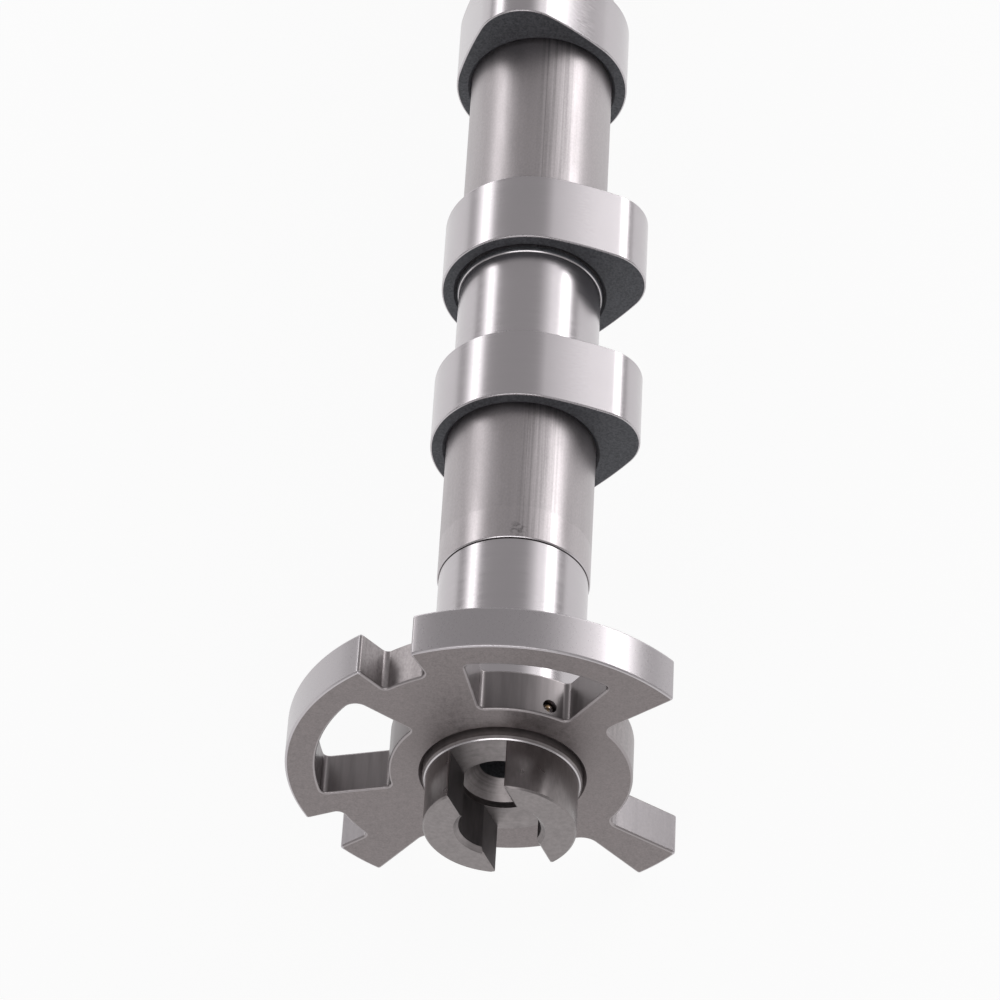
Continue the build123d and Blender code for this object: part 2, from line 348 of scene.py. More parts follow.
def turned(profile, origin=(0, 0, 0), axes=AXES, columns=TURNED_COLUMNS):
    """The surface of a profile turned about an axis: origin + along A + radius (cos a B + sin a C)."""
    points, numbers = profile
    angles = np.linspace(0, 2 * pi, columns, endpoint=False)
    forward, side, up = (np.array(axis) for axis in axes)
    spokes = np.cos(angles)[:, None] * side + np.sin(angles)[:, None] * up
    grid = np.array(origin) + points[:, None, :1] * forward + points[:, None, 1:] * spokes[None]
    return grid, numbers


def profile(corners, closed=False):
    """A turned profile from corners (along, radius, edge size, finish), the last two 0 if left out: each
    corner is rounded by the parabola that leaves both lines at the edge size from it, with guard points
    beside it, and a finish holds from its corner to the next."""
    corners = [(*corner, 0, 0)[:4] for corner in corners]
    spots = np.array([corner[:2] for corner in corners], dtype=float)
    count = len(corners)
    points, numbers = [], []
    for index, (_, _, broken, finish) in enumerate(corners):
        before = corners[index - 1][3]
        at = spots[index]
        if not closed and index in (0, count - 1):
            points.append(at[None])
            numbers.append([finish])
            continue
        towards = spots[index - 1] - at
        away = spots[(index + 1) % count] - at
        lengths = np.linalg.norm(towards), np.linalg.norm(away)
        reach = min(broken, LONGEST_EDGE * min(lengths))
        towards, away = towards / lengths[0], away / lengths[1]
        share = np.linspace(0, 1, ROUND_STEPS if reach > 0 else 1)[:, None]
        curve = at + reach * ((1 - share) ** 2 * towards + share ** 2 * away)
        guards = at + (reach + GUARD) * towards, at + (reach + GUARD) * away
        points.append(np.concatenate([guards[0][None], curve, guards[1][None]]))
        numbers.append([before] * (1 + len(share) // 2) + [finish] * (len(share) - len(share) // 2 + 1))
    points, numbers = np.concatenate(points), np.concatenate(numbers)
    if closed:
        return np.concatenate([points, points[:1]]), numbers
    return points, numbers[:-1]


# Finishes


def add_node(tree, kind, inputs=(), output=0, **settings):
    """Adds a shader node, sets its settings, gives each input a value or a link, and returns one of its
    outputs. The inputs are a dict, or a list in the node's own order."""
    node = tree.nodes.new("ShaderNode" + kind)
    for name, value in settings.items():
        setattr(node, name, value)
    for socket, value in inputs.items() if isinstance(inputs, dict) else enumerate(inputs):
        if isinstance(value, bpy.types.NodeSocket):
            tree.links.new(value, node.inputs[socket])
        else:
            node.inputs[socket].default_value = value
    return node.outputs[output] if node.outputs else None


def new_tree(owner):
    """Empties the node tree of a material, a lamp or a world, and returns the function that adds a node to
    it."""
    owner.use_nodes = True
    owner.node_tree.nodes.clear()
    return partial(add_node, owner.node_tree)


def ring_place(add):
    """Coordinates (distance from the shaft axis, place along it, 0), so that a pattern makes turning
    rings."""
    across, along, up = add("SeparateXYZ", [add("TexCoord", output="Object")]).node.outputs
    radius = add("VectorMath", [add("CombineXYZ", [across, up])], "Value", operation="LENGTH")
    return add("CombineXYZ", [radius, along])


def pattern(add, width, stretch=(1, 1, 1), detail=2.0, roughness=0.5, rings=False):
    """A noise pattern whose features are width mm wide, on object coordinates times stretch or in turning
    rings."""
    place = ring_place(add) if rings else add("TexCoord", output="Object")
    place = add("Mapping", {"Vector": place, "Scale": stretch})
    inputs = {"Vector": place, "Scale": 1 / (width * MM), "Detail": detail, "Roughness": roughness}
    return add("TexNoise", inputs)


def tone(colour, factor=1.0):
    """A colour made lighter or darker by a factor."""
    return (*(min(1.0, channel * factor) for channel in colour), 1)


def blend(add, value, start, end, dark, light):
    """A colour that goes from dark to light, as a value goes from start to end."""
    inputs = {"Factor": add("MapRange", [value, start, end]), "A": dark, "B": light}
    return add("Mix", inputs, "Result", data_type="RGBA")


def bumps(add, *layers):
    """The normal under bump layers (height, strength, depth in mm), one on the other."""
    below = {}
    for height, strength, depth in layers:
        layer = {"Height": height, "Strength": strength, "Distance": depth * MM}
        below = {"Normal": add("Bump", layer | below)}
    return below["Normal"]


def metal(add, shade, colour, roughness, *layers):
    """Shader inputs of a metal: the colour (colour, dark, light) from dark to light as the shade (pattern,
    start, end) goes from start to end, the roughness (pattern, low, high) over the pattern's middle range,
    and bump layers."""
    base, dark, light = colour
    inputs = {
        "Base Color": blend(add, *shade, tone(base, dark), tone(base, light)),
        "Roughness": add("MapRange", [roughness[0], *MIDDLE, *roughness[1:]]),
    }
    return inputs | ({"Normal": bumps(add, *layers)} if layers else {})


def ground_steel(add, colours):
    """Hardened steel ground to size: a smooth grey mirror, clouded by fine marks that run round the shaft."""
    rings = pattern(add, 0.35, detail=3, rings=True)
    clouds = pattern(add, 9)
    return metal(add, (clouds, 0, 1), (colours.ground, 0.93, 1), (rings, 0.19, 0.27), (rings, 0.05, 0.02))


def drawn_steel(add, colours):
    """Cold drawn tube: satin, with a soft grain, fine lines along the tube, stronger ones on top beside the
    deepest, a smoother band at each end where the skin was lightly skimmed, with an uneven border, and one
    dark smudge."""
    lines = pattern(add, 0.5, (1, 0.01, 1), detail=3)
    grain = pattern(add, 0.3, (1, 0.6, 1), detail=3, roughness=0.6)
    place = add("TexCoord", output="Object")
    across, along, up = add("SeparateXYZ", [place]).node.outputs
    around = add("Math", [up, across], operation="ARCTAN2")
    from_seam = add("Math", [around, SEAM_ANGLE], operation="SUBTRACT")
    seam = add("MapRange", [add("Math", [from_seam], operation="ABSOLUTE"), 0, SEAM_HALF, 1, 0])
    rise = add("MapRange", [around, *LINED_RISE, 0.1, 1])
    fall = add("MapRange", [around, *LINED_FALL, 1, 0.1])
    sector = add("Math", [rise, fall], operation="MULTIPLY")
    line_shade = add("MapRange", [lines, 0.35, 0.65, -0.2, 0.1])
    from_middle = add("Math", [along, TUBE_MIDDLE], operation="SUBTRACT")
    distance = add("Math", [from_middle], operation="ABSOLUTE")
    border = add("Math", [pattern(add, 4, (1, 0.5, 1)), BORDER_WAVE, distance], operation="MULTIPLY_ADD")
    band = add("MapRange", [border, *BAND_RISE])
    from_smudge = add("VectorMath", [place, SMUDGE], "Value", operation="DISTANCE")
    near_smudge = add("MapRange", [from_smudge, *SMUDGE_FALL, 1, 0])
    patches = add("MapRange", [pattern(add, 0.8), 0.48, 0.58])
    smudge = add("Math", [near_smudge, patches], operation="MULTIPLY")
    shade = add("MapRange", [grain, *MIDDLE, 0.86, 1])
    for part, weight in ((line_shade, sector), (band, 0.06), (seam, -0.2), (smudge, -0.4)):
        shade = add("Math", [part, weight, shade], operation="MULTIPLY_ADD")
    satin = add("MapRange", [pattern(add, 5, (1, 0.3, 1)), *MIDDLE, 0.34, 0.42])
    strong_lines = add("Math", [lines, sector], operation="MULTIPLY")
    return {
        "Base Color": add("VectorMath", {0: colours.drawn, "Scale": shade}, operation="SCALE"),
        "Roughness": add("Math", [band, -0.04, satin], operation="MULTIPLY_ADD"),
        "Normal": bumps(add, (strong_lines, 0.3, 0.04), (grain, 0.3, 0.025), (seam, 0.3, 0.04)),
    }


def turned_steel(add, colours):
    """Steel as it leaves the lathe: satin, with fine feed rings round the axis."""
    rings = pattern(add, 0.3, rings=True)
    mixed = add("Math", [rings, pattern(add, 1.5, detail=3, roughness=0.6)], operation="ADD")
    roughness, bump = (rings, 0.38, 0.48), (rings, 0.25, 0.02)
    return metal(add, (mixed, 0.75, 1.25), (colours.turned, 0.72, 1.05), roughness, bump)


def milled_steel(add, colours):
    """Milled faces and outer walls of the jaws: the same steel, even and satin, with hardly any marks."""
    grain = pattern(add, 0.7, (1, 0.3, 1), detail=3, roughness=0.6)
    shade, roughness, bump = (grain, *MIDDLE), (pattern(add, 3), 0.27, 0.36), (grain, 0.05, 0.02)
    return metal(add, shade, (colours.turned, 0.74, 0.92), roughness, bump)


def slot_painted_shade_steel(add, colours):
    """Walls of the slot and the counterbore: darker than the rest, painted shade inside the slot, with fine
    marks.
    """
    marks = pattern(add, 0.6, (1, 0.15, 1), detail=3)
    browned = metal(add, (marks, 0, 1), (colours.slot, 0.7, 1.3), (marks, 0.42, 0.52))
    return browned | {"Metallic": 0.8, "Specular Tint": (0.3, 0.3, 0.3, 1)}


def rolled_pin_steel(add, colours):
    """The pin's rolled steel: smooth, with a thin brown film that leaves bright patches."""
    film = pattern(add, 0.9)
    return {
        "Base Color": blend(add, film, 0.42, 0.58, tone(colours.stain), tone(colours.ground)),
        "Roughness": add("MapRange", [film, *MIDDLE, 0.32, 0.2]),
    }


def sintered_steel(add, colours):
    """Pressed and sintered iron powder: dull satin grey, mottled by the fine even grain of the powder."""
    grain = pattern(add, 0.35, detail=3, roughness=0.6)
    mottle = pattern(add, 0.9, roughness=0.6)
    mixed = add("Math", [grain, mottle], operation="ADD")
    shade, colour, roughness = (mixed, 0.7, 1.3), (colours.sintered, 0.78, 1.12), (mottle, 0.42, 0.55)
    return metal(add, shade, colour, roughness, (grain, 0.3, 0.02), (mottle, 0.3, 0.02))


def sized_sintered_steel(add, colours):
    """Outside of the wheel: powder steel with marks along the axis, the toothed rim ground smooth to size,
    and the flanks of the two narrow teeth, low on the wheel, lighter and smoother: painted light."""
    grain = pattern(add, 0.35, (1, 0.6, 1), detail=3, roughness=0.6)
    marks = pattern(add, 0.8, (1, 0.05, 1), detail=3)
    height = add("SeparateXYZ", [add("TexCoord", output="Object")], "Z")
    # Walls low on the wheel take the rim's lighter colour: painted light on the narrow teeth's flanks
    flanks = add("MapRange", [height, *LIT_FLANK_FALL, 0, 0.8])
    rim = add("MapRange", [add("SeparateXYZ", [ring_place(add)]), *RIM_RISE])
    smooth = add("Math", [rim, flanks], operation="MAXIMUM")
    mixed = add("Math", [grain, marks], operation="ADD")
    colour = {
        "Factor": smooth,
        "A": blend(add, mixed, 0.7, 1.3, tone(colours.pressed, 0.75), tone(colours.pressed, 1.25)),
        "B": blend(add, grain, 0, 1, tone(colours.ground, 0.82), tone(colours.ground, 0.92)),
    }
    roughness = {
        "Factor": smooth,
        "A": add("MapRange", [marks, *MIDDLE, 0.32, 0.46]),
        "B": add("MapRange", [grain, *MIDDLE, 0.27, 0.3]),
    }
    return {
        "Base Color": add("Mix", colour, "Result", data_type="RGBA"),
        "Roughness": add("Mix", roughness, "Result", data_type="FLOAT"),
        "Normal": bumps(add, (grain, 0.04, 0.02)),
    }


def window_wall_painted_shade_steel(add, colours):
    """Walls of the windows and the bore: the powder steel darkened to paint the shade inside them, with soft
    marks along the axis.
    """
    marks = pattern(add, 1.1, (1, 0.08, 1), detail=3)
    return metal(add, (marks, 0, 1), (colours.pressed, 0.5, 0.9), (marks, 0.3, 0.4))


def heat_scale_and_painted_shade(add, colours):
    """End face of a forged lobe, left with its dark heat treatment scale: matt, granular, nearly black; also
    painted shade on the tube and the claw.
    """
    grain = pattern(add, 0.42, detail=3, roughness=0.7)
    shade, roughness, bump = (grain, 0.35, 0.65), (grain, 0.5, 0.65), (grain, 0.6, 0.06)
    return metal(add, shade, (colours.scale, 0.58, 1.3), roughness, bump) | {"Metallic": 0.6}


def tumbled_edge(add, colours):
    """Edge of a lobe, rubbed bright by tumbling."""
    grain = pattern(add, 0.5)
    return metal(add, (grain, 0, 1), (colours.ground, 0.9, 1), (grain, 0.25, 0.33))


def tumbled_powder_steel(add, colours):
    """Edges of the wheel, rubbed smooth by tumbling: dull, and bright where they meet the ground rim."""
    radius = add("SeparateXYZ", [ring_place(add)])
    inner, outer = tone(colours.pressed, 1.05), tone(colours.ground, 0.95)
    return {
        "Base Color": blend(add, radius, *RIM_EDGE_RISE, inner, outer),
        "Roughness": add("MapRange", [pattern(add, 0.5), *MIDDLE, 0.3, 0.4]),
    }


@cache
def made_finish(maker):
    """A metal made by its function and named for it, once for all pieces."""
    material = bpy.data.materials.new(maker.__name__)
    add = new_tree(material)
    inputs = {"Metallic": 1.0, **maker(add, bpy.context.scene.camshaft_colours)}
    add("OutputMaterial", [add("BsdfPrincipled", inputs)])
    return material


def finishes(*makers):
    """The finishes of those functions, in order."""
    return [made_finish(maker) for maker in makers]


# Pieces of the camshaft


def dressed(piece, node):
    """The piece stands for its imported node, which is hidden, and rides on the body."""
    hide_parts(node)
    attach(piece, BODY)
    return piece


def lobe_span(index):
    """Front and back of a lobe, from the frame."""
    low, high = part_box(f"lobe_{index}")
    return low.y, high.y


def make_tube(shaft):
    """The tube: outside with a journal groove between the two lobes of each cylinder, end chamfers and the
    bore."""
    low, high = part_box("tube")
    radius, bore, edge = high.z, high.z - shaft.tube_wall, shaft.tube_edge
    small, step = shaft.small_edge, shaft.journal_step
    ground, drawn, lathed, dark = range(4)
    corners = [
        (low.y, bore, 0, lathed),
        (low.y, radius - edge, small / 2, ground),
        (low.y + edge, radius, small / 2, drawn),
    ]
    for first in (1, 3, 5, 7):
        start = lobe_span(first)[1] + shaft.journal_margin
        end = lobe_span(first + 1)[0] - shaft.journal_margin
        corners += [
            # The tube beside each lobe and the outer half of each journal chamfer are dark: painted shade
            # beside the lobe
            (start - shaft.journal_margin, radius, 0, dark),
            (start, radius, small / 2, dark),
            (start + step / 2, radius - step / 2, 0, ground),
            (start + step, radius - step, small / 2, ground),
            (end - step, radius - step, small / 2, ground),
            (end - step / 2, radius - step / 2, 0, dark),
            (end, radius, small / 2, dark),
            (end + shaft.journal_margin, radius, 0, drawn),
        ]
    corners += [
        (high.y - edge, radius, small / 2, ground),
        (high.y, radius - edge, small / 2, lathed),
        (high.y, bore, 0, lathed),
    ]
    blocks = [turned(profile(corners, closed=True))]
    piece = mesh_piece("drawn_tube", blocks, finishes(ground_steel, drawn_steel, turned_steel, heat_scale_and_painted_shade))
    return dressed(piece, "tube")


def cam_outline(lobe, turned_by):
    """Base circle, flank, nose and flank of a cam, each arc tangent to the next, with the nose turned by an
    angle. The flank's centre lies flank - base from the axis and flank - nose from the nose's centre."""
    offset = lobe.base_radius + lobe.lift - lobe.nose_radius
    to_base = lobe.flank_radius - lobe.base_radius
    to_nose = lobe.flank_radius - lobe.nose_radius
    flank_x = (to_base**2 - to_nose**2 + offset**2) / (2 * offset)
    flank_y = sqrt(to_base**2 - flank_x**2)
    base = atan2(flank_y, -flank_x)
    nose = atan2(flank_y, offset - flank_x)
    points, normals = outline([
        arc((0, 0), lobe.base_radius, base, 2 * pi - base),
        arc((flank_x, flank_y), lobe.flank_radius, -base, -nose),
        arc((offset, 0), lobe.nose_radius, -nose, nose),
        arc((flank_x, -flank_y), lobe.flank_radius, nose, base),
    ])
    spin = np.array([[cos(turned_by), sin(turned_by)], [-sin(turned_by), cos(turned_by)]])
    return points @ spin, normals @ spin


def nose_angle(index, first):
    """Where a lobe's nose points: a quarter turn from cylinder to cylinder, in the order 0, 90, 270, 180
    degrees."""
    return first + radians((0, 90, 270, 180)[(index - 1) // 2])


def make_lobe(index, lobe):
    """One lobe: the running face with its broken edges, dark end faces and the chamfered bore on the tube."""
    front, back = lobe_span(index)
    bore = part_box("tube")[1].z
    rim, bright, dark, ring = range(4)
    outer = cam_outline(lobe, nose_angle(index, lobe.first_nose))
    inner = outline([arc((0, 0), bore, 0, 2 * pi)])
    rim_edge, bore_edge = (lobe.rim_edge, False), (lobe.bore_edge, True)
    blocks = [
        wall(outer, -1, front, back, rim_edge, rim_edge, (dark, bright, rim)),
        wall(inner, 1, front, back, bore_edge, bore_edge, (dark, ring, ring)),
    ]
    metals = finishes(ground_steel, tumbled_edge, heat_scale_and_painted_shade, heat_scale_and_painted_shade)
    piece = mesh_piece(f"cam_lobe_{index}", blocks, metals, [(front, dark), (back, dark)])
    return dressed(piece, f"lobe_{index}")


def tooth(start, end, radius, tip, before, after):
    """Arcs of one tooth: root, tip, top, tip, root. A fillet's centre lies its own radius from the tooth's
    radial side, so its angle from the side is asin(fillet / distance from the axis). before and after are
    (floor, root fillet)."""
    (floor_before, root_before), (floor_after, root_after) = before, after
    reach_before, reach_after = floor_before + root_before, floor_after + root_after
    lean_tip = asin(tip / (radius - tip))
    first = start - asin(root_before / reach_before)
    last = end + asin(root_after / reach_after)
    return [
        arc(polar(reach_before, first), root_before, first + pi, start + pi / 2),
        arc(polar(radius - tip, start + lean_tip), tip, start - pi / 2, start + lean_tip),
        arc((0, 0), radius, start + lean_tip, end - lean_tip),
        arc(polar(radius - tip, end - lean_tip), tip, end - lean_tip, end + pi / 2),
        arc(polar(reach_after, last), root_after, end + 3 * pi / 2, last + pi),
    ]


def wheel_outline(wheel, radius):
    """Teeth and the floors between them, once round: two wide teeth, then two narrow ones."""
    notch_floor = radius - wheel.tooth_height
    hub, tip = wheel.hub_radius, wheel.tooth_tip
    notch = (notch_floor, wheel.notch_corner)
    root = (notch_floor, wheel.notch_root)
    leg = (hub, wheel.leg_root)
    side = (hub, wheel.side_root)
    starts = [wheel.first_tooth + quarter * pi / 2 for quarter in range(4)]
    angles = [wheel.wide_tooth, wheel.wide_tooth, wheel.narrow_tooth, wheel.narrow_tooth]
    before, after = [side, root, root, leg], [notch, notch, leg, side]
    arcs = []
    for index, start in enumerate(starts):
        end = start + angles[index]
        arcs += tooth(start, end, radius, tip, before[index], after[index])
        floor, bend = after[index]
        following = starts[(index + 1) % 4] + (2 * pi if index == 3 else 0)
        next_bend = before[(index + 1) % 4][1]
        leaves, joins = end + asin(bend / (floor + bend)), following - asin(next_bend / (floor + next_bend))
        arcs.append(arc((0, 0), floor, leaves, joins))
    return outline(arcs)


def window_outline(start, end, inner, outer, corner, bend):
    """A window between two radial sides and two arcs, with rounded corners, once round to the left. The bend
    is the radius of its first outer corner."""
    lean_out = asin(corner / (outer - corner))
    lean_bend = asin(bend / (outer - bend))
    lean_in = asin(corner / (inner + corner))
    return outline([
        arc((0, 0), outer, start + lean_bend, end - lean_out),
        arc(polar(outer - corner, end - lean_out), corner, end - lean_out, end + pi / 2),
        arc(polar(inner + corner, end - lean_in), corner, end + pi / 2, end - lean_in + pi),
        arc((0, 0), inner, end - lean_in, start + lean_in),
        arc(polar(inner + corner, start + lean_in), corner, start + lean_in + pi, start + 3 * pi / 2),
        arc(polar(outer - bend, start + lean_bend), bend, start - pi / 2, start + lean_bend),
    ])


def pin_axes(wheel):
    """The pin's own axes: outwards, along the shaft, and round it."""
    outwards = Vector((cos(wheel.pin_angle), 0, sin(wheel.pin_angle)))
    along = Vector((0, 1, 0))
    return outwards, along, outwards.cross(along)


def make_wheel(wheel):
    """The trigger wheel: outline, two windows and bore as walls between two flat faces, with the pin hole."""
    low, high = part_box("trigger_wheel")
    front, back, radius = low.y, high.y, high.z
    face, bright, side, rim = range(4)
    edge = (wheel.rim_edge, False)
    window = (wheel.window_inner, wheel.window_outer, wheel.window_corner)
    top = window_outline(wheel.top_window, wheel.top_window_end, *window, wheel.window_corner)
    left = window_outline(wheel.left_window, wheel.left_window_end, *window, wheel.window_bend)
    bore = outline([arc((0, 0), wheel.bore_radius, 0, 2 * pi)])
    blocks = [
        wall(wheel_outline(wheel, radius), -1, front, back, edge, edge, (face, bright, rim)),
        # The walls of the windows and the bore take the darker finish: painted shade
        wall(top, 1, front, back, edge, edge, (face, bright, side)),
        wall(left, 1, front, back, edge, edge, (face, bright, side)),
        wall(bore, 1, front, back, (wheel.bore_edge, True), edge, (face, side, side)),
    ]
    metals = finishes(sintered_steel, tumbled_powder_steel, window_wall_painted_shade_steel, sized_sintered_steel)
    piece = mesh_piece("sintered_wheel", blocks, metals, [(front, face), (back, face)])
    inside, outside = wheel.bore_radius - 2 * DRILL_MARGIN, wheel.window_inner + DRILL_MARGIN
    hole = profile([
        (inside, 0, 0, side), (inside, wheel.pin_radius, 0, side),
        (outside, wheel.pin_radius, 0, side), (outside, 0, 0, side),
    ])
    origin = (0, front + wheel.pin_set_back, 0)
    tool = mesh_piece("pin_drill", [turned(hole, origin, pin_axes(wheel), DRILL_COLUMNS)], [])
    return dressed(bored(piece, tool), "trigger_wheel")


def make_pin(wheel):
    """The locking pin with its domed end: the dome is a circle arc over the pin's own radius."""
    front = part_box("trigger_wheel")[0].y
    dome_radius = (wheel.pin_radius**2 + wheel.pin_dome**2) / (2 * wheel.pin_dome)
    end = wheel.window_inner - wheel.pin_recess
    reach = np.linspace(wheel.pin_radius, 0, DOME_STEPS)
    dome = end - dome_radius + np.sqrt(dome_radius**2 - reach**2)
    points = np.stack([
        np.concatenate([[wheel.pin_bottom, wheel.pin_bottom], dome]),
        np.concatenate([[0, wheel.pin_radius], reach]),
    ], axis=1)
    outside = points, np.zeros(len(points) - 1, int)
    block = turned(outside, (0, front + wheel.pin_set_back, 0), pin_axes(wheel), SMALL_COLUMNS)
    piece = mesh_piece("locking_pin", [block], finishes(rolled_pin_steel))
    return dressed(piece, "wheel_pin")


# Part of the bevelled ring in lighter ground steel, a painted highlight line; one groove of the thread; and
# points in a jaw's section
HIGHLIGHT_SHARE = (0.3, 0.6)
THREAD_PLACES = np.array([0.1, 0.45, 0.55, 0.9])
THREAD_FORM = np.array([0, 1, 1, 0])
OUTER_COUNT = 60
INNER_COUNT = 40
CORNER_COUNT = 6
INNER_ARC = slice(OUTER_COUNT + 2 * CORNER_COUNT, OUTER_COUNT + 2 * CORNER_COUNT + INNER_COUNT)
SLOT_SIDE = slice(OUTER_COUNT + CORNER_COUNT - 1, OUTER_COUNT + 3 * CORNER_COUNT + INNER_COUNT)


def jaw_section(claw, middle, gap, inner, outer):
    """The section of a jaw about its middle direction: outer arc, rounded corner, flank of the slot, small
    corner, counterbore arc, and back. A corner's centre is its own radius inside the flank and inside the arc
    it joins."""
    big, small = claw.corner_radius, claw.inner_corner
    outer_turn = acos((gap + big) / (outer - big))
    inner_turn = acos((gap + small) / (inner + small))
    flank = middle + pi
    arcs = [
        ((0, 0), outer, middle - outer_turn, middle + outer_turn, OUTER_COUNT),
        (polar(outer - big, middle + outer_turn), big, middle + outer_turn, flank, CORNER_COUNT),
        (polar(inner + small, middle + inner_turn), small, flank, flank + inner_turn, CORNER_COUNT),
        ((0, 0), inner, middle + inner_turn, middle - inner_turn, INNER_COUNT),
        (polar(inner + small, middle - inner_turn), small, flank - inner_turn, flank, CORNER_COUNT),
        (polar(outer - big, middle - outer_turn), big, flank, middle - outer_turn + 2 * pi, CORNER_COUNT),
    ]
    return np.concatenate([
        np.array(centre) + radius * np.stack([np.cos(sweep), np.sin(sweep)], axis=1)
        for centre, radius, start, end, count in arcs
        for sweep in [np.linspace(start, end, count)]
    ])


def jaw_block(claw, middle, top, milled, slot, bevelled):
    """A jaw from its flat end to its foot: at each depth its slot edge is set back by slot_edge - depth and
    its counterbore by bore_bevel - depth, while above zero, and the foot narrows inside the piece. The
    numbers are the finishes of the outside, the slot walls and the counterbore's bevel."""
    edge, bevel, foot = claw.slot_edge, claw.bore_bevel, claw.foot
    depths = np.array([0, 0, GUARD, edge - GUARD, edge, edge + GUARD, bevel - GUARD, bevel, bevel + GUARD,
                       claw.jaw_height, claw.jaw_height + foot])
    extra = np.zeros(len(depths))
    extra[0], extra[-1] = GUARD, foot
    edge_back = np.maximum(edge - depths, 0) + extra
    bevel_back = np.maximum(bevel - depths, 0) + extra
    rows = []
    for depth, flank, bore in zip(depths, edge_back, bevel_back):
        section = jaw_section(
            claw, middle, claw.slot_width / 2 + flank, claw.bore_radius + bore, claw.jaw_radius - flank
        )
        rows.append(np.stack([section[:, 0], np.full(len(section), top + depth), section[:, 1]], axis=1))
    numbers = np.full((len(depths) - 1, len(rows[0])), milled)
    # Slot walls below the edge chamfer take the darker finish: painted shade inside the slot
    numbers[4:, SLOT_SIDE] = slot
    numbers[2:7, INNER_ARC] = bevelled
    return np.array(rows), numbers


def make_claw(claw, shaft, wheel):
    """The claw end piece: plug, journal, seat and slot floor turned as one, with two jaws that stand on the
    floor."""
    low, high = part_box("claw_end_piece")
    wheel_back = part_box("trigger_wheel")[1].y
    tube_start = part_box("tube")[0].y
    top, floor = low.y, low.y + claw.jaw_height
    cone = floor + claw.bore_depth
    small = shaft.small_edge
    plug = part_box("tube")[1].z - shaft.tube_wall
    lathed, ground, slot, milled, dark = range(5)
    hole, ring = claw.hole_radius, wheel.bore_radius - claw.jaw_radius
    highlight_start, highlight_end = HIGHLIGHT_SHARE
    corners = [
        # The deep hole is dark: painted shade down the hole
        (floor + claw.hole_depth, 0, 0, dark),
        (floor + claw.hole_depth, hole, 0, dark),
        (cone + claw.bore_radius - hole, hole, small),
        (cone, claw.bore_radius, small / 2),
        (floor, claw.bore_radius, small / 2),
        # A strip of the bevel in lighter ground steel paints its thin highlight line
        (floor, claw.jaw_radius + highlight_start * ring, small / 4, ground),
        (floor + highlight_start * claw.ring_edge, claw.jaw_radius + highlight_end * ring),
        (floor + claw.ring_edge, wheel.bore_radius, small / 2),
        (wheel_back, wheel.bore_radius),
        (wheel_back, shaft.end_journal, 0, ground),
        # The journal's chamfer under the tube's end is dark: painted shade between the parts
        (tube_start - shaft.shoulder_edge, shaft.end_journal, small / 2, dark),
        (tube_start, shaft.end_journal - shaft.shoulder_edge, small / 2),
        (tube_start, plug),
        (high.y, plug, small),
        (high.y, 0),
    ]
    middles = (claw.slot_angle - pi / 2, claw.slot_angle + pi / 2)
    jaws = [jaw_block(claw, middle, top, milled, slot, lathed) for middle in middles]
    metals = finishes(turned_steel, ground_steel, slot_painted_shade_steel, milled_steel, heat_scale_and_painted_shade)
    fills = [(top, milled), (floor + claw.foot, milled)]
    piece = mesh_piece("turned_claw", [turned(profile(corners)), *jaws], metals, fills)
    return dressed(piece, "claw_end_piece")


def thread_corners(start, end, radius, depth, pitch):
    """Corners of a thread's profile, from its end to its start: one groove of the depth in each pitch."""
    turns = int((end - start) / pitch)
    places = start + (np.arange(turns)[:, None] + THREAD_PLACES) * pitch
    radii = np.broadcast_to(radius + THREAD_FORM * depth, places.shape)
    return list(zip(places.ravel()[::-1], radii.ravel()[::-1]))


def make_drive_end(shaft):
    """The drive end piece: plug, journal, thrust collar and pilot nose turned as one, with the threaded
    hole."""
    low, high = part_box("drive_end_piece")
    tube_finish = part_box("tube")[1].y
    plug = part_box("tube")[1].z - shaft.tube_wall
    small, edge = shaft.small_edge, shaft.shoulder_edge
    collar_face = high.y - shaft.nose_length
    collar_start = collar_face - shaft.collar_thickness
    hole, bottom, pitch = shaft.hole_radius, high.y - shaft.hole_depth, shaft.thread_pitch
    ground = 1
    corners = [
        (low.y, 0),
        (low.y, plug, small),
        (tube_finish, plug),
        (tube_finish, shaft.end_journal - edge, small / 2),
        (tube_finish + edge, shaft.end_journal, small / 2, ground),
        (collar_start, shaft.end_journal, small),
        (collar_start, shaft.collar_radius - edge, small),
        (collar_start + edge, shaft.collar_radius, small),
        (collar_face - edge, shaft.collar_radius, small),
        (collar_face, shaft.collar_radius - edge, small),
        (collar_face, shaft.nose_radius, small, ground),
        (high.y - shaft.nose_edge, shaft.nose_radius, small),
        (high.y, shaft.nose_radius - shaft.nose_edge, small),
        (high.y, hole + shaft.hole_edge, small),
        (high.y - shaft.hole_edge, hole),
        *thread_corners(bottom + pitch, high.y - shaft.hole_edge, hole, shaft.thread_depth, pitch),
        (bottom, hole),
        (bottom, 0),
    ]
    piece = mesh_piece("turned_drive_end", [turned(profile(corners))], finishes(turned_steel, ground_steel))
    bottom = collar_face - shaft.dowel_depth
    drill = profile([
        (bottom, 0), (bottom, shaft.dowel_shank),
        (collar_face + DRILL_MARGIN, shaft.dowel_shank), (collar_face + DRILL_MARGIN, 0),
    ])
    tool = mesh_piece("dowel_drill", [turned(drill, dowel_place(shaft), AXES, SMALL_COLUMNS)], [])
    return dressed(bored(piece, tool), "drive_end_piece")


def dowel_place(shaft):
    """Where the dowel's axis crosses the plane of the shaft's origin."""
    across, up = polar(shaft.dowel_pitch, shaft.dowel_angle)
    return across, 0, up


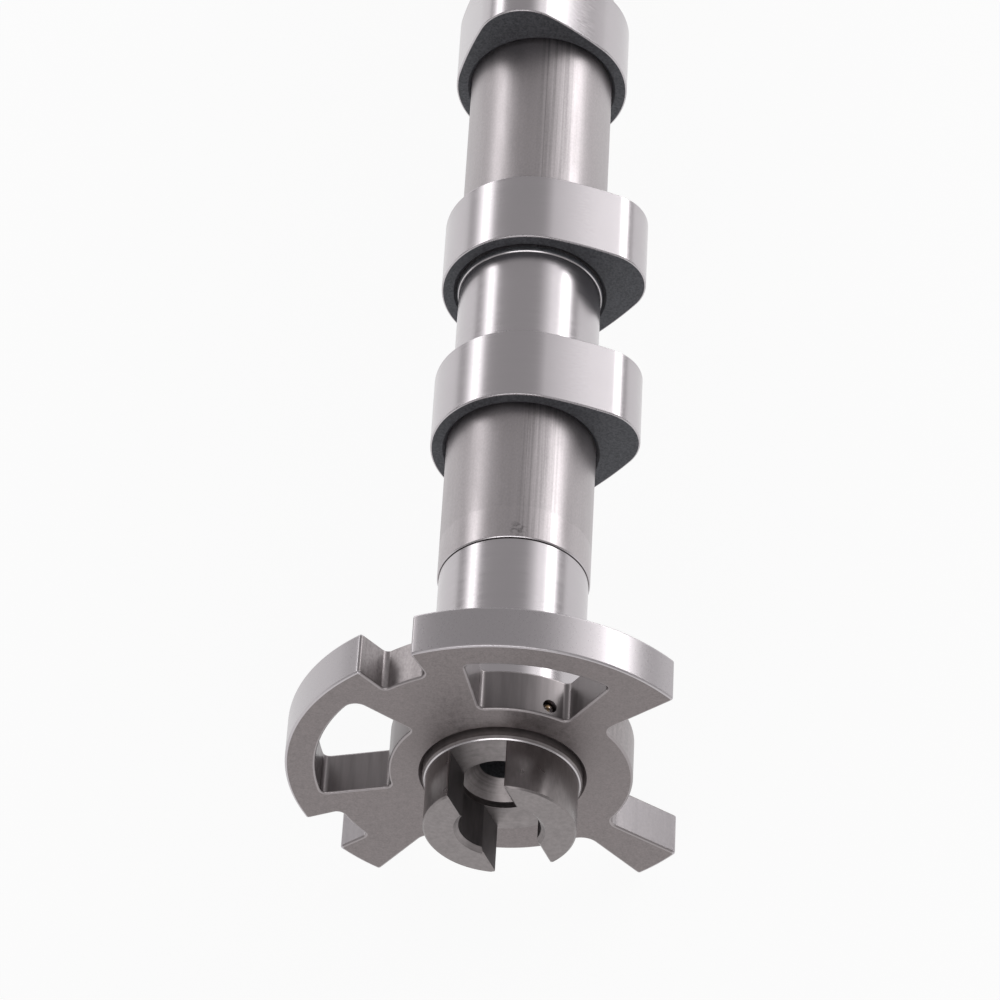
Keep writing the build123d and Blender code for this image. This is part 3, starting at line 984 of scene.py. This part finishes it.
def make_dowel(shaft):
    """The dowel: shank in the collar, a shoulder flush with the face and the chamfered free end."""
    low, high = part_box("drive_dowel")
    face, small, edge = low.y + shaft.dowel_depth, shaft.small_edge / 2, shaft.dowel_edge
    corners = [
        (low.y, 0),
        (low.y, shaft.dowel_shank, small),
        (face, shaft.dowel_shank, small),
        (face, shaft.dowel_radius),
        (high.y - edge, shaft.dowel_radius, small),
        (high.y, shaft.dowel_radius - edge, small),
        (high.y, 0),
    ]
    block = turned(profile(corners), dowel_place(shaft), AXES, SMALL_COLUMNS)
    piece = mesh_piece("drive_dowel_pin", [block], finishes(ground_steel))
    return dressed(piece, "drive_dowel")


# Stage: the camera, the soft boxes as (direction, width, length, radiance, fade), the floor and the room
CAMERA_PLACE = Vector((50.944, -452.074, 614.688)) * MM
CAMERA_RIGHT = Vector((0.99760511, 0.04730089, -0.05046454))
CAMERA_UP = Vector((-0.00569745, 0.78332408, 0.62158742))
CAMERA_BACK = Vector((0.06893173, -0.61981127, 0.7817176))
CAMERA_LENS = 158.542
BOX_TARGET = Vector((0, 0.05, 0))
BOX_DISTANCE = 1.0
SOFT_BOXES = {
    "left_box": (
        (-0.68, 0.62, 0.375), 0.5, 1.0, 2.5,
        ((0, 0), (0.25, 0.25), (0.42, 1), (0.62, 1), (0.8, 0)),
    ),
    "right_box": (
        (0.6, 0.62, 0.48), 0.85, 1.0, 4.4,
        ((0, 0), (0.24, 0.12), (0.36, 0.24), (0.5, 0.18), (0.58, 0.19), (0.64, 1), (0.75, 1), (0.88, 0)),
    ),
    "front_box": ((-0.07, -0.8, 0.6), 0.9, 0.35, 2.4, ((0, 0), (0.2, 1), (0.8, 1), (1, 0))),
}
LEG_HEIGHT = -29.16 * MM
LEG_PLACE = -16.55 * MM
LOBE_HEIGHT = -21.57 * MM
LOBE_PLACE = 278.85 * MM
FLOOR_REACH = 2.5
FLOOR_POINTS = 9
PAPER_GLOW = 0.92
ROOM_COLOUR = (1, 0.985, 0.99, 1)
ROOM_LEVEL = 0.43


def soft_box(name, direction, width, length, radiance, fade):
    """A long soft box that faces the shaft, its narrow side turned round it. Its power is pi area radiance,
    and the fade gives shares of that radiance at places across it, from -X to +X."""
    towards = Vector(direction).normalized()
    across = Vector((towards.z, 0, -towards.x)).normalized()
    lamp = bpy.data.lights.new(name, "AREA")
    lamp.shape = "RECTANGLE"
    lamp.size, lamp.size_y = width, length
    lamp.energy = pi * width * length * radiance
    add = new_tree(lamp)
    cloth = add("ValToRGB", [add("SeparateXYZ", [add("NewGeometry", output="Parametric")])])
    stops = cloth.node.color_ramp.elements
    for index, (position, share) in enumerate(fade):
        stop = stops[index] if index < len(stops) else stops.new(position)
        stop.position, stop.color = position, (share, share, share, 1)
    add("OutputLight", [add("Emission", [cloth])])
    spin = Matrix((across, towards.cross(across), towards)).transposed().to_4x4()
    in_scene(name, lamp).matrix_world = Matrix.Translation(BOX_TARGET + towards * BOX_DISTANCE) @ spin


def make_floor(colours):
    """A plane through the feet of the two narrow teeth and the lowest lobes, on which the part rests. A share
    of what the camera and reflections see of it is even light."""
    slope = (LOBE_HEIGHT - LEG_HEIGHT) / (LOBE_PLACE - LEG_PLACE)
    reach = np.linspace(-FLOOR_REACH, FLOOR_REACH, FLOOR_POINTS)
    across, along = np.meshgrid(reach, reach)
    points = np.stack([across, along, LEG_HEIGHT + slope * (along - LEG_PLACE)], axis=2).reshape(-1, 3)
    index = np.arange(FLOOR_POINTS**2).reshape(FLOOR_POINTS, FLOOR_POINTS)
    quads = np.stack([index[:-1, :-1], index[:-1, 1:], index[1:, 1:], index[1:, :-1]], axis=2).reshape(-1, 4)
    mesh = bpy.data.meshes.new("floor")
    mesh.from_pydata(points, [], quads.tolist())
    material = bpy.data.materials.new("white_paper_floor")
    add = new_tree(material)
    rays = add("LightPath").node.outputs
    seen = add("Math", [rays["Is Camera Ray"], rays["Is Glossy Ray"]], operation="MAXIMUM")
    shown = add("Math", [seen, rays["Is Transmission Ray"]], operation="MAXIMUM")
    share = add("Math", [shown, PAPER_GLOW], operation="MULTIPLY")
    paper = add("BsdfDiffuse", [(*colours.floor, 1)])
    add("OutputMaterial", [add("MixShader", [share, paper, add("Emission", [(1, 1, 1, 1), 1])])])
    mesh.materials.append(material)
    floor = in_scene("floor", mesh)


def make_world():
    """An even pale grey room."""
    world = bpy.data.worlds.new("room")
    add = new_tree(world)
    add("OutputWorld", [add("Background", [ROOM_COLOUR, ROOM_LEVEL])])
    bpy.context.scene.world = world


def make_camera():
    """The camera at the photograph's place, with its lens."""
    camera = bpy.data.cameras.new("camera")
    camera.lens = CAMERA_LENS
    camera.sensor_width = 36
    camera.clip_start = 0.01
    view = in_scene("camera", camera)
    axes = Matrix((CAMERA_RIGHT, CAMERA_UP, CAMERA_BACK)).transposed().to_4x4()
    view.matrix_world = Matrix.Translation(CAMERA_PLACE) @ axes
    bpy.context.scene.camera = view


# Operators, panel and registration


class BuildTube(bpy.types.Operator):
    """Build the drawn tube with its ground journals"""

    bl_idname = "camshaft.build_tube"
    bl_label = "Tube"

    def execute(self, context):
        make_tube(context.scene.camshaft_shaft)
        return {"FINISHED"}


class BuildLobes(bpy.types.Operator):
    """Build the eight cam lobes"""

    bl_idname = "camshaft.build_lobes"
    bl_label = "Cam lobes"

    def execute(self, context):
        for index in range(1, 9):
            make_lobe(index, context.scene.camshaft_lobes)
        return {"FINISHED"}


class BuildWheel(bpy.types.Operator):
    """Build the sintered trigger wheel and its locking pin"""

    bl_idname = "camshaft.build_wheel"
    bl_label = "Trigger wheel and pin"

    def execute(self, context):
        make_wheel(context.scene.camshaft_wheel)
        make_pin(context.scene.camshaft_wheel)
        return {"FINISHED"}


class BuildClaw(bpy.types.Operator):
    """Build the turned end piece with its slotted claw"""

    bl_idname = "camshaft.build_claw"
    bl_label = "Claw end piece"

    def execute(self, context):
        scene = context.scene
        make_claw(scene.camshaft_claw, scene.camshaft_shaft, scene.camshaft_wheel)
        return {"FINISHED"}


class BuildDriveEnd(bpy.types.Operator):
    """Build the turned drive end and its dowel"""

    bl_idname = "camshaft.build_drive_end"
    bl_label = "Drive end piece and dowel"

    def execute(self, context):
        make_drive_end(context.scene.camshaft_shaft)
        make_dowel(context.scene.camshaft_shaft)
        return {"FINISHED"}


class BuildStage(bpy.types.Operator):
    """Build the floor, the room, the lamps and the camera"""

    bl_idname = "camshaft.build_stage"
    bl_label = "Stage"

    def execute(self, context):
        make_floor(context.scene.camshaft_colours)
        make_world()
        for name, settings in SOFT_BOXES.items():
            soft_box(name, *settings)
        make_camera()
        context.scene.view_settings.view_transform = "Standard"
        return {"FINISHED"}


class CamshaftPanel(bpy.types.Panel):
    """Lists the pieces of the camshaft"""

    bl_idname = "VIEW3D_PT_camshaft"
    bl_label = "Camshaft"
    bl_space_type = "VIEW_3D"
    bl_region_type = "UI"
    bl_category = "Camshaft"

    def draw(self, context):
        for operator in OPERATORS:
            self.layout.operator(operator.bl_idname)


OPERATORS = (BuildTube, BuildLobes, BuildWheel, BuildClaw, BuildDriveEnd, BuildStage)
GROUPS = {
    "camshaft_shaft": ShaftSizes,
    "camshaft_lobes": LobeSizes,
    "camshaft_wheel": WheelSizes,
    "camshaft_claw": ClawSizes,
    "camshaft_colours": FinishColours,
}


def register():
    """Registers the groups, operators and the panel."""
    for cls in (*GROUPS.values(), *OPERATORS, CamshaftPanel):
        bpy.utils.register_class(cls)
    for name, group in GROUPS.items():
        setattr(bpy.types.Scene, name, PointerProperty(type=group))


def unregister():
    """Takes them away again."""
    for name in GROUPS:
        delattr(bpy.types.Scene, name)
    for cls in (CamshaftPanel, *reversed(OPERATORS), *reversed(GROUPS.values())):
        bpy.utils.unregister_class(cls)


def main():
    """Builds every piece and the stage."""
    register()
    bpy.ops.camshaft.build_tube()
    bpy.ops.camshaft.build_lobes()
    bpy.ops.camshaft.build_wheel()
    bpy.ops.camshaft.build_claw()
    bpy.ops.camshaft.build_drive_end()
    bpy.ops.camshaft.build_stage()


if __name__ == "__main__":
    main()
